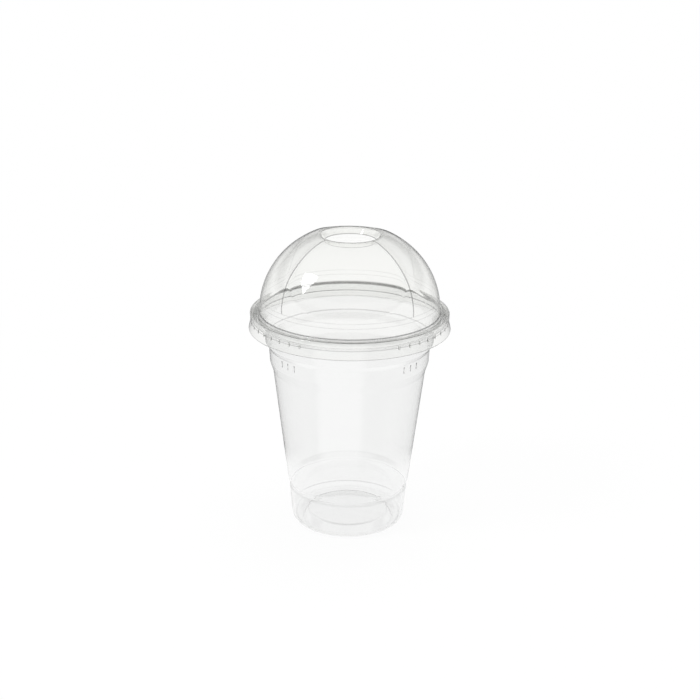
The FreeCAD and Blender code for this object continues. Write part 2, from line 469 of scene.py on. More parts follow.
def formed_sheet_group() -> bpy.types.NodeTree:
    """Build the shared surface of formed sheet once, and hand it out after that.

    Returns:
        A shader group that turns a position into roughness and the height of soft waves.
    """
    name = "Formed sheet surface"
    if name in bpy.data.node_groups:
        return bpy.data.node_groups[name]
    tree = bpy.data.node_groups.new(name, "ShaderNodeTree")
    add_sockets(tree, "INPUT", "Vector", "Position")
    add_sockets(tree, "INPUT", "Float", "Ripple Size", "Haze", "Haze Spread")
    add_sockets(tree, "OUTPUT", "Float", "Roughness", "Height")
    source = tree.nodes.new("NodeGroupInput")
    result = tree.nodes.new("NodeGroupOutput")
    waves = tree.nodes.new("ShaderNodeTexNoise")
    waves.inputs["Detail"].default_value = 1.0
    drawn = tree.nodes.new("ShaderNodeTexNoise")
    drawn.inputs["Scale"].default_value = DRAWN_PATCHES
    drawn.inputs["Detail"].default_value = 3.0
    spread = tree.nodes.new("ShaderNodeMath")
    spread.operation = "MULTIPLY_ADD"
    link = tree.links.new
    link(source.outputs["Position"], waves.inputs["Vector"])
    link(source.outputs["Ripple Size"], waves.inputs["Scale"])
    link(source.outputs["Position"], drawn.inputs["Vector"])
    link(drawn.outputs["Fac"], spread.inputs[0])
    link(source.outputs["Haze Spread"], spread.inputs[1])
    link(source.outputs["Haze"], spread.inputs[2])
    link(spread.outputs[0], result.inputs["Roughness"])
    link(waves.outputs["Fac"], result.inputs["Height"])
    return tree


def bend_shade_group() -> bpy.types.NodeTree:
    """Build the shared mask of a ring of painted shade about the upright axis once, and hand it out after
    that.

    Returns:
        A shader group that turns a position into a share of painted shade, highest on the ring.
    """
    name = "Bend ring"
    if name in bpy.data.node_groups:
        return bpy.data.node_groups[name]
    tree = bpy.data.node_groups.new(name, "ShaderNodeTree")
    add_sockets(tree, "INPUT", "Vector", "Position")
    add_sockets(tree, "INPUT", "Float", "Ring Radius", "Ring Height", "Width", "Strength",
                "Front Strength", "Change")
    add_sockets(tree, "OUTPUT", "Float", "Share")
    source = tree.nodes.new("NodeGroupInput").outputs
    result = tree.nodes.new("NodeGroupOutput").inputs
    split = tree.nodes.new("ShaderNodeSeparateXYZ")
    tree.links.new(source["Position"], split.inputs[0])
    calc = partial(math_node, tree)

    def squared(value: bpy.types.NodeSocket) -> bpy.types.NodeSocket:
        """Square of a value."""
        return calc("MULTIPLY", value, value)

    radius = calc("SQRT", calc("ADD", squared(split.outputs["X"]), squared(split.outputs["Y"])))
    out = squared(calc("SUBTRACT", radius, source["Ring Radius"]))
    up = squared(calc("SUBTRACT", split.outputs["Z"], source["Ring Height"]))
    near = soft_ramp(tree, calc("SQRT", calc("ADD", out, up)), (0.0, source["Width"]), (1.0, 0.0))
    behind = calc("SUBTRACT", calc("DIVIDE", split.outputs["Y"], source["Ring Radius"]), source["Change"])
    strength = soft_ramp(tree, behind, FRONT_TO_BACK, (source["Front Strength"], source["Strength"]))
    tree.links.new(calc("MULTIPLY", near, strength), result["Share"])
    return tree


# Sections of formed sheet


@dataclass
class SheetSection:
    """Section of a sheet of even wall that follows corner points of its outer face.

    Args:
        wall: Thickness of the sheet, in metres.
        step: Longest stretch between two points, in metres.
        turn_step: Largest turn between two points of a bend, in radians.
        end_step: Distance of the first and last point of a straight stretch from its ends, in metres.
        smallest_step: Distance below which two points are one, in metres.
        edge_steps: Steps of the half-round edge at the sheet's end.
    """

    wall: float
    step: float = 1.2 * MM
    turn_step: float = math.radians(14)
    end_step: float = 0.15 * MM
    smallest_step: float = 0.01 * MM
    edge_steps: int = 4

    def middle_corners(self, corners: list[Corner]) -> list[Corner]:
        """Move the outer face's corners to the middle of the wall.

        Args:
            corners: Radius, height and bend radius of each corner, from the axis outwards.

        Returns:
            The same corners on the middle of the wall, to the left of the path.
        """
        places = [Vector(corner[:2]) for corner in corners]
        normals = [self.left_of(a, b) for a, b in zip(places, places[1:])]
        moved = [places[0] + normals[0] * self.wall / 2]
        for place, before, after in zip(places[1:-1], normals, normals[1:]):
            moved.append(place + (before + after) * self.wall / 2 / (1 + before.dot(after)))
        moved.append(places[-1] + normals[-1] * self.wall / 2)
        return [(place.x, place.y, corner[2]) for place, corner in zip(moved, corners)]

    @staticmethod
    def left_of(a: Vector, b: Vector) -> Vector:
        """Unit vector to the left of the way from a to b."""
        along = (b - a).normalized()
        return Vector((-along.y, along.x))

    def stretch(self, a: Vector, b: Vector) -> list[tuple[Vector, Vector]]:
        """Fill a straight stretch with points.

        Args:
            a: Start of the stretch.
            b: End of the stretch.

        Returns:
            Pairs of place and left normal, close together at both ends.
        """
        length = (b - a).length
        if length < NO_LENGTH:
            return []
        edge = min(self.end_step, length / 4)
        inside = length - 2 * edge
        count = max(1, math.ceil(inside / self.step))
        shares = [0.0] + [(edge + inside * i / count) / length for i in range(count + 1)] + [1.0]
        normal = self.left_of(a, b)
        return [(a.lerp(b, share), normal) for share in shares]

    def bend(self, before: Vector, here: Vector, after: Vector,
             radius: float) -> list[tuple[Vector, Vector]]:
        """Fill a bend with points.

        Args:
            before: Corner before the bend.
            here: Corner that the bend rounds.
            after: Corner after the bend.
            radius: Radius of the bend at the middle of the wall.

        Returns:
            Pairs of place and left normal along the arc.
        """
        back, ahead = (before - here).normalized(), (after - here).normalized()
        half = back.angle(ahead) / 2
        centre = here + (back + ahead).normalized() * (radius / math.sin(half))
        normal_in, normal_out = self.left_of(before, here), self.left_of(here, after)
        turn = normal_in.angle_signed(normal_out)
        inward = 1.0 if (centre - here).dot(normal_in) > 0 else -1.0
        count = max(2, math.ceil(abs(turn) / self.turn_step))
        points = []
        for i in range(count + 1):
            normal = Matrix.Rotation(-turn * i / count, 2) @ normal_in
            points.append((centre - normal * radius * inward, normal))
        return points

    def middle(self, corners: list[Corner]) -> list[tuple[Vector, Vector]]:
        """Round the corners of a path along the middle of the wall and fill it with points.

        Args:
            corners: Radius, height and bend radius of each corner on the middle of the wall.

        Returns:
            Pairs of place and left normal, without doubles.
        """
        places = [Vector(corner[:2]) for corner in corners]
        line: list[tuple[Vector, Vector]] = []
        start = places[0]
        for before, here, after, corner in zip(places, places[1:], places[2:], corners[1:]):
            arc = self.bend(before, here, after, corner[2])
            line += self.stretch(start, arc[0][0]) + arc
            start = arc[-1][0]
        line += self.stretch(start, places[-1])
        kept = [line[0]]
        for pair in line[1:]:
            if (pair[0] - kept[-1][0]).length > self.smallest_step:
                kept.append(pair)
        return kept

    def face(self, line: list[tuple[Vector, Vector]], side: Side) -> list[Point]:
        """Points of one face of the sheet."""
        shift = -self.wall * side.value
        return [tuple(place + normal * shift) for place, normal in line]

    def rounded_end(self, line: list[tuple[Vector, Vector]]) -> list[Point]:
        """Half-round edge that closes the sheet after its last point.

        Args:
            line: Pairs of place and left normal of the middle of the wall.

        Returns:
            Points from the outer face round to the inner face, both left out.
        """
        place, normal = line[-1]
        ahead = (line[-1][0] - line[-2][0]).normalized()
        half = self.wall / 2
        angles = [math.pi * i / self.edge_steps for i in range(1, self.edge_steps)]
        return [tuple(place - normal * half * math.cos(a) + ahead * half * math.sin(a)) for a in angles]


# Geometry trees


def panel_group() -> bpy.types.NodeTree:
    """Build the group that turns a round dome into one of flat-bowed panels with soft creases.

    Returns:
        A geometry group with Radius, Height, Angle, Inset and Weight in, and Radius out.
    """
    tree = bpy.data.node_groups.new("Panelled radius", "GeometryNodeTree")
    add_sockets(tree, "INPUT", "Float", "Radius", "Height", "Angle", "Inset", "Weight", "Axis Offset",
                "Crease Softness", "Inner Softness", "Panel Turn", "Ring Radius", "Land Centre Radius",
                "Land Centre Height", "Land Radius", "Land Softness")
    add_sockets(tree, "INPUT", "Int", "Panels")
    add_sockets(tree, "OUTPUT", "Float", "Radius")
    source = tree.nodes.new("NodeGroupInput").outputs
    result = tree.nodes.new("NodeGroupOutput").inputs
    calc = partial(math_node, tree)
    half = calc("DIVIDE", math.pi, source["Panels"])
    turned = calc("SUBTRACT", source["Angle"], source["Panel Turn"])
    folded = calc("ABSOLUTE", calc("WRAP", turned, half, calc("MULTIPLY", half, -1.0)))
    to_crease = calc("SUBTRACT", half, folded)
    extra = calc("MULTIPLY", calc("SUBTRACT", source["Inner Softness"], source["Crease Softness"]),
                 calc("GREATER_THAN", source["Inset"], 0.0))
    softness = calc("ADD", source["Crease Softness"], extra)
    softened = calc("SQRT", calc("ADD", calc("POWER", to_crease, 2.0), calc("POWER", softness, 2.0)))
    bearing = calc("SUBTRACT", half, softened)
    offset = source["Axis Offset"]
    across = calc("MULTIPLY", offset, calc("SINE", bearing))
    along = calc("MULTIPLY", offset, calc("COSINE", bearing))
    reach = calc("ADD", source["Radius"], offset)
    root = calc("SQRT", calc("SUBTRACT", calc("POWER", reach, 2.0), calc("POWER", across, 2.0)))
    panelled = calc("SUBTRACT", root, along)
    land = calc("SUBTRACT", source["Land Radius"], source["Inset"])
    rise = calc("SUBTRACT", source["Height"], source["Land Centre Height"])
    square = calc("SUBTRACT", calc("POWER", land, 2.0), calc("POWER", rise, 2.0))
    bow = calc("SQRT", calc("MAXIMUM", square, 0.0))
    land_radius = calc("ADD", source["Land Centre Radius"], bow)
    ring = calc("SUBTRACT", source["Ring Radius"], source["Inset"])
    limit = calc("MINIMUM", land_radius, ring)
    held = calc("SMOOTH_MIN", panelled, limit, source["Land Softness"])
    change = calc("MULTIPLY", calc("SUBTRACT", held, source["Radius"]), source["Weight"])
    tree.links.new(calc("ADD", source["Radius"], change), result["Radius"])
    return tree


def turned_sheet_tree(name: str, panels: bool) -> bpy.types.NodeTree:
    """Build the tree that turns a section round the upright axis.

    Args:
        name: Name of the tree.
        panels: Whether the turned form is shaped into panels where the section says so.

    Returns:
        A geometry tree whose geometry in is the section, a row of points.
    """
    tree = bpy.data.node_groups.new(name, "GeometryNodeTree")
    add_sockets(tree, "INPUT", "Geometry", "Section")
    number_socket(tree, "Section Points", "Int", 10)
    number_socket(tree, "Segments", "Int", 64)
    number_socket(tree, "Crease Crowding", "Float", 0.0)
    add_sockets(tree, "INPUT", "Material", "Material")
    shape_inputs: list[str] = []
    if panels:
        shaping = panel_group()
        by_point = ("Radius", "Height", "Angle", "Inset", "Weight")
        inputs = [item.name for item in shaping.interface.items_tree if item.in_out == "INPUT"]
        shape_inputs = [label for label in inputs if label not in by_point]
    for label in shape_inputs:
        number_socket(tree, label, "Int" if label == "Panels" else "Float", 0)
    add_sockets(tree, "OUTPUT", "Geometry", "Sheet")
    source = tree.nodes.new("NodeGroupInput").outputs
    result = tree.nodes.new("NodeGroupOutput").inputs
    link = tree.links.new
    calc = partial(math_node, tree)
    columns = calc("ADD", source["Segments"], 1.0)
    grid = tree.nodes.new("GeometryNodeMeshGrid")
    link(source["Section Points"], grid.inputs["Vertices X"])
    link(columns, grid.inputs["Vertices Y"])
    index = tree.nodes.new("GeometryNodeInputIndex").outputs[0]
    row = calc("FLOOR", calc("DIVIDE", calc("ADD", index, 0.5), columns))
    column = calc("SUBTRACT", index, calc("MULTIPLY", row, columns))
    angle = calc("MULTIPLY", column, calc("DIVIDE", math.tau, source["Segments"]))
    if panels:
        around = calc("MULTIPLY", calc("SUBTRACT", angle, source["Panel Turn"]), source["Panels"])
        lead = calc("MULTIPLY", calc("SINE", around), source["Crease Crowding"])
        angle = calc("ADD", angle, calc("DIVIDE", lead, source["Panels"]))

    def sampled(kind: str, value: bpy.types.NodeSocket) -> bpy.types.NodeSocket:
        """Value of the section at the row that a point belongs to."""
        node = tree.nodes.new("GeometryNodeSampleIndex")
        node.data_type = kind
        link(source["Section"], node.inputs["Geometry"])
        link(value, node.inputs["Value"])
        link(row, node.inputs["Index"])
        return node.outputs["Value"]

    place = tree.nodes.new("ShaderNodeSeparateXYZ")
    link(sampled("FLOAT_VECTOR", tree.nodes.new("GeometryNodeInputPosition").outputs[0]), place.inputs[0])
    radius, height = place.outputs["X"], place.outputs["Z"]
    if panels:
        shape = tree.nodes.new("GeometryNodeGroup")
        shape.node_tree = shaping
        for label in ("Inset", "Weight"):
            named = tree.nodes.new("GeometryNodeInputNamedAttribute")
            named.data_type = "FLOAT"
            named.inputs["Name"].default_value = label.lower()
            link(sampled("FLOAT", named.outputs["Attribute"]), shape.inputs[label])
        link(radius, shape.inputs["Radius"])
        link(height, shape.inputs["Height"])
        link(angle, shape.inputs["Angle"])
        for label in shape_inputs:
            link(source[label], shape.inputs[label])
        radius = shape.outputs["Radius"]
    turned = tree.nodes.new("ShaderNodeCombineXYZ")
    link(calc("MULTIPLY", radius, calc("COSINE", angle)), turned.inputs["X"])
    link(calc("MULTIPLY", radius, calc("SINE", angle)), turned.inputs["Y"])
    link(height, turned.inputs["Z"])
    placed = tree.nodes.new("GeometryNodeSetPosition")
    welded = tree.nodes.new("GeometryNodeMergeByDistance")
    welded.inputs["Distance"].default_value = WELD
    smooth = tree.nodes.new("GeometryNodeSetShadeSmooth")
    real = tree.nodes.new("GeometryNodeRealizeInstances")
    dressed = tree.nodes.new("GeometryNodeSetMaterial")
    link(grid.outputs["Mesh"], placed.inputs["Geometry"])
    link(turned.outputs[0], placed.inputs["Position"])
    link(placed.outputs[0], welded.inputs["Geometry"])
    link(welded.outputs[0], smooth.inputs["Geometry"])
    link(smooth.outputs[0], real.inputs["Geometry"])
    link(real.outputs[0], dressed.inputs["Geometry"])
    link(source["Material"], dressed.inputs["Material"])
    link(dressed.outputs[0], result["Sheet"])
    return tree


def rib_ring_tree() -> bpy.types.NodeTree:
    """Build the tree that sets two groups of ribs, one at the left and one at the right of the front.

    Returns:
        A geometry tree whose geometry in is one rib at the angle zero.
    """
    tree = bpy.data.node_groups.new("Rib ring", "GeometryNodeTree")
    add_sockets(tree, "INPUT", "Geometry", "Rib")
    number_socket(tree, "Ribs Per Group", "Int", 1)
    number_socket(tree, "Group Angle", "Float", 0.0)
    number_socket(tree, "Rib Spacing", "Float", 0.0)
    add_sockets(tree, "INPUT", "Material", "Material")
    add_sockets(tree, "OUTPUT", "Geometry", "Ribs")
    source = tree.nodes.new("NodeGroupInput").outputs
    result = tree.nodes.new("NodeGroupOutput").inputs
    link = tree.links.new
    calc = partial(math_node, tree)
    points = tree.nodes.new("GeometryNodePoints")
    link(calc("MULTIPLY", source["Ribs Per Group"], 2.0), points.inputs["Count"])
    index = tree.nodes.new("GeometryNodeInputIndex").outputs[0]
    group = calc("FLOOR", calc("DIVIDE", calc("ADD", index, 0.5), source["Ribs Per Group"]))
    in_group = calc("SUBTRACT", index, calc("MULTIPLY", group, source["Ribs Per Group"]))
    half_group = calc("DIVIDE", calc("SUBTRACT", source["Ribs Per Group"], 1.0), 2.0)
    centred = calc("SUBTRACT", in_group, half_group)
    side = calc("SUBTRACT", calc("MULTIPLY", group, 2.0), 1.0)
    middle = calc("ADD", calc("MULTIPLY", side, source["Group Angle"]), FRONT)
    angle = calc("ADD", middle, calc("MULTIPLY", centred, source["Rib Spacing"]))
    turn = tree.nodes.new("ShaderNodeCombineXYZ")
    link(angle, turn.inputs["Z"])
    copies = tree.nodes.new("GeometryNodeInstanceOnPoints")
    smooth = tree.nodes.new("GeometryNodeSetShadeSmooth")
    real = tree.nodes.new("GeometryNodeRealizeInstances")
    dressed = tree.nodes.new("GeometryNodeSetMaterial")
    link(points.outputs[0], copies.inputs["Points"])
    link(source["Rib"], copies.inputs["Instance"])
    link(turn.outputs[0], copies.inputs["Rotation"])
    link(copies.outputs[0], real.inputs["Geometry"])
    link(real.outputs[0], smooth.inputs["Geometry"])
    link(smooth.outputs[0], dressed.inputs["Geometry"])
    link(source["Material"], dressed.inputs["Material"])
    link(dressed.outputs[0], result["Ribs"])
    return tree


def grown_object(name: str, seed: bpy.types.Mesh, tree: bpy.types.NodeTree,
                 values: dict[str, object]) -> bpy.types.Object:
    """Run a geometry tree on a mesh and keep the result as a plain object.

    Args:
        name: Name of the object.
        seed: Mesh that the tree starts from.
        tree: The geometry tree.
        values: Value of each named input.

    Returns:
        An object with a closed mesh whose faces point outwards, and no modifier.
    """
    carrier = scene_object(name + "_seed", seed)
    modifier = carrier.modifiers.new(tree.name, "NODES")
    modifier.node_group = tree
    sockets = {item.name: item.identifier for item in tree.interface.items_tree if item.in_out == "INPUT"}
    for label, value in values.items():
        modifier[sockets[label]] = value
    graph = bpy.context.evaluated_depsgraph_get()
    mesh = bpy.data.meshes.new_from_object(carrier.evaluated_get(graph), depsgraph=graph)
    carrier.modifiers.remove(modifier)
    bpy.data.objects.remove(carrier)
    mesh.name = name
    shell = bmesh.new()
    shell.from_mesh(mesh)
    bmesh.ops.delete(shell, geom=[edge for edge in shell.edges if not edge.link_faces], context="EDGES")
    bmesh.ops.recalc_face_normals(shell, faces=shell.faces)
    shell.to_mesh(mesh)
    shell.free()
    return scene_object(name, mesh)


def section_mesh(name: str, points: list[Point], marks: dict[str, list[float]]) -> bpy.types.Mesh:
    """Make a row of points that a turned sheet tree reads.

    Args:
        name: Name of the mesh.
        points: Radius and height of each point.
        marks: Values of each point by the attribute's name.

    Returns:
        A mesh of loose points in the plane of X and Z.
    """
    mesh = bpy.data.meshes.new(name)
    mesh.from_pydata([(r, 0.0, z) for r, z in points], [], [])
    for label, values in marks.items():
        mesh.attributes.new(label, "FLOAT", "POINT").data.foreach_set("value", values)
    return mesh


@dataclass
class Rib:
    """Small upright pill that stands half out of a wall.

    Args:
        width: Across the rib, in metres.
        height: Along the wall, in metres.
        proud: How far it stands out of the wall, in metres.
        sunk: How far it reaches into the wall, in metres.
    """

    width: float
    height: float
    proud: float
    sunk: float

    def mesh(self, name: str, radius: float, middle: float, lean: float) -> bpy.types.Mesh:
        """Make one rib at the angle zero.

        Args:
            name: Name of the mesh.
            radius: Radius of the wall's outer face at the rib's middle.
            middle: Height of the rib's middle.
            lean: How far the wall leans outwards, in radians.

        Returns:
            A closed mesh.
        """
        pill = bmesh.new()
        bmesh.ops.create_uvsphere(pill, u_segments=10, v_segments=8, radius=1.0)
        deep = (self.proud + self.sunk) / 2
        flat = self.height / 2 - self.width / 2
        equator = 0.1
        for vertex in pill.verts:
            end = math.copysign(flat, vertex.co.z) if abs(vertex.co.z) > equator else 0.0
            vertex.co = Vector((vertex.co.x * deep, vertex.co.y * self.width / 2,
                                vertex.co.z * self.width / 2 + end))
        bmesh.ops.transform(pill, matrix=Matrix.Rotation(lean, 4, "Y"), verts=pill.verts)
        shift = Vector((radius + self.proud - deep, 0.0, middle))
        bmesh.ops.translate(pill, vec=shift, verts=pill.verts)
        mesh = bpy.data.meshes.new(name)
        pill.to_mesh(mesh)
        pill.free()
        return mesh


# Sub-assemblies


@dataclass
class Cup:
    """Tapered cup with a raised base, groove, step, collar, neck and rolled rim. Sizes in metres."""

    wall: float = 0.25 * MM
    rim_radius: float = 47.5 * MM
    rim_width: float = 3.6 * MM
    rim_height: float = 3.6 * MM
    rim_flat: float = 0.3 * MM
    rim_return: float = 1.2 * MM
    flare_width: float = 3.0 * MM
    flare_height: float = 2.0 * MM
    neck_height: float = 8.6 * MM
    neck_draft: float = 0.25 * MM
    shoulder_width: float = 1.7 * MM
    shoulder_height: float = 2.7 * MM
    collar_height: float = 7.3 * MM
    collar_draft: float = 0.45 * MM
    step_width: float = 1.55 * MM
    step_height: float = 4.8 * MM
    body_height: float = 57.6 * MM
    body_bottom_radius: float = 30.1 * MM
    groove_depth: float = 1.5 * MM
    groove_height: float = 4.4 * MM
    groove_floor_height: float = 1.1 * MM
    heel_inset: float = 0.8 * MM
    heel_height: float = 18.2 * MM
    heel_draft: float = 1.45 * MM
    heel_bend: float = 4.6 * MM
    foot_ring_width: float = 5.5 * MM
    foot_slope_width: float = 2.5 * MM
    base_lift: float = 4.5 * MM
    soft_bend: float = 0.5 * MM
    groove_bend: float = 1.3 * MM
    foot_bend: float = 1.2 * MM
    root_bend: float = 1.2 * MM
    shoulder_bend: float = 1.3 * MM
    segments: int = 224
    rib: Rib = field(default_factory=lambda: Rib(0.8 * MM, 3.2 * MM, 0.2 * MM, 0.12 * MM))
    ribs_per_group: int = 3
    rib_group_angle: float = math.radians(48)
    rib_spacing: float = math.radians(6.5)
    rib_drop: float = 0.9 * MM
    # Sizes of the painted shade lines along the cup's tight turns.
    shade_line_width: float = 0.5 * MM
    base_shade_width: float = 0.6 * MM
    shoulder_shade_rise: float = 1.7 * MM
    heel_shade_out: float = 0.4 * MM
    heel_shade_height: float = 6.2 * MM

    @property
    def root_radius(self) -> float:
        """Radius of the outer face just below the rim."""
        return self.rim_radius - self.rim_width + self.wall

    @property
    def neck_radius(self) -> float:
        """Radius of the outer face at the foot of the neck."""
        return self.root_radius - self.flare_width - self.neck_draft

    @property
    def foot_radius(self) -> float:
        """Radius of the heel's lowest corner."""
        return self.body_bottom_radius - self.heel_inset - self.heel_draft

    def heights(self) -> dict[str, float]:
        """Height of each level of the cup.

        Returns:
            Heights over the foot by name.
        """
        groove_top = self.heel_height + self.groove_height
        body_top = groove_top + self.body_height
        step_top = body_top + self.step_height
        collar_top = step_top + self.collar_height
        shoulder_top = collar_top + self.shoulder_height
        neck_top = shoulder_top + self.neck_height
        rim_bottom = neck_top + self.flare_height
        return {"groove_top": groove_top, "body_top": body_top, "step_top": step_top,
                "collar_top": collar_top, "shoulder_top": shoulder_top, "neck_top": neck_top,
                "rim_bottom": rim_bottom, "rim_top": rim_bottom + self.rim_height}

    def corners(self) -> list[Corner]:
        """Corner points of the cup's outer face.

        Returns:
            Radius, height and bend radius, from the middle of the base to the end of the roll.
        """
        level = self.heights()
        soft = self.soft_bend
        foot_inner = self.foot_radius - self.foot_ring_width
        collar_top_radius = self.neck_radius - self.shoulder_width
        collar_radius = collar_top_radius - self.collar_draft
        roll = (self.rim_width - self.wall - self.rim_flat) / 2
        roll_outer = self.rim_radius - self.wall
        roll_top = level["rim_top"] - self.wall
        roll_bottom = level["rim_top"] - self.rim_height + self.wall
        return [
            (0.0, self.base_lift, 0.0),
            (foot_inner - self.foot_slope_width, self.base_lift, self.foot_bend),
            (foot_inner, 0.0, self.foot_bend),
            (self.foot_radius, 0.0, self.heel_bend),
            (self.body_bottom_radius - self.heel_inset, self.heel_height, self.groove_bend),
            (self.body_bottom_radius - self.groove_depth, self.heel_height + self.groove_floor_height,
             self.groove_bend),
            (self.body_bottom_radius, level["groove_top"], 3 * self.groove_bend),
            (collar_radius - self.step_width, level["body_top"], 2 * soft),
            (collar_radius, level["step_top"], 2 * soft),
            (collar_top_radius, level["collar_top"], soft),
            (self.neck_radius, level["shoulder_top"], self.shoulder_bend),
            (self.root_radius - self.flare_width, level["neck_top"], soft),
            (self.root_radius, level["rim_bottom"], self.root_bend),
            (self.root_radius, roll_top, roll),
            (roll_outer, roll_top, roll),
            (roll_outer, roll_bottom, roll),
            (roll_outer - roll - self.rim_return / 2, roll_bottom, 0.0),
        ]

    def shade_rings(self) -> tuple[BendShade, ...]:
        """Rings of painted shade along the cup's tight turns.

        Returns:
            The rings that are painted darker, standing in for the dark lines that light bent by the sheet
            shows.
        """
        shoulder_shade_height = self.heights()["shoulder_top"] + self.shoulder_shade_rise
        heel_shade_radius = self.foot_radius + self.heel_shade_out
        base = self.foot_radius - self.foot_ring_width - self.foot_slope_width
        return (BendShade(self.neck_radius, shoulder_shade_height, self.shade_line_width, strength=0.6, front_strength=0.0),
                BendShade(heel_shade_radius, self.heel_shade_height, self.shade_line_width, strength=0.45,
                     front_strength=0.0, change=0.6),
                BendShade(base, self.base_lift, self.base_shade_width, strength=0.0, front_strength=0.6,
                     change=-0.9))

    def build_wall(self, material: bpy.types.Material) -> bpy.types.Object:
        """Turn the cup's section into its wall.

        Args:
            material: Finish of the sheet.

        Returns:
            The wall, with both of its faces.
        """
        section = SheetSection(self.wall)
        line = section.middle(section.middle_corners(self.corners()))
        outer = section.face(line, Side.OUTER)
        inner = section.face(line, Side.INNER)
        points = outer + section.rounded_end(line) + inner[::-1]
        seed = section_mesh("cup_section", points, {})
        tree = turned_sheet_tree("Turned cup", False)
        return grown_object("cup_wall", seed, tree, {
            "Section Points": len(points), "Segments": self.segments, "Material": material})

    def build_ribs(self, material: bpy.types.Material) -> bpy.types.Object:
        """Set the stacking ribs on the collar.

        Args:
            material: Finish of the ribs.

        Returns:
            All stacking ribs as one piece.
        """
        level = self.heights()
        top_radius = self.neck_radius - self.shoulder_width
        lean = math.atan2(self.collar_draft, self.collar_height)
        middle = level["collar_top"] - self.rib_drop - self.rib.height / 2
        radius = top_radius - (level["collar_top"] - middle) * math.tan(lean)
        seed = self.rib.mesh("stack_rib", radius, middle, lean)
        return grown_object("stacking_ribs", seed, rib_ring_tree(), {
            "Ribs Per Group": self.ribs_per_group, "Group Angle": self.rib_group_angle,
            "Rib Spacing": self.rib_spacing, "Material": material})

    def build(self, finish: ClearSheet) -> None:
        """Build the cup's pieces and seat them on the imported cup.

        Args:
            finish: Finish of the sheet.
        """
        material = finish.build()
        wall = self.build_wall(material)
        ribs = self.build_ribs(material)
        for piece in (wall, ribs):
            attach(piece, "cup")
            log.info("%s: %d faces", piece.name, len(piece.data.polygons))
        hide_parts("cup")


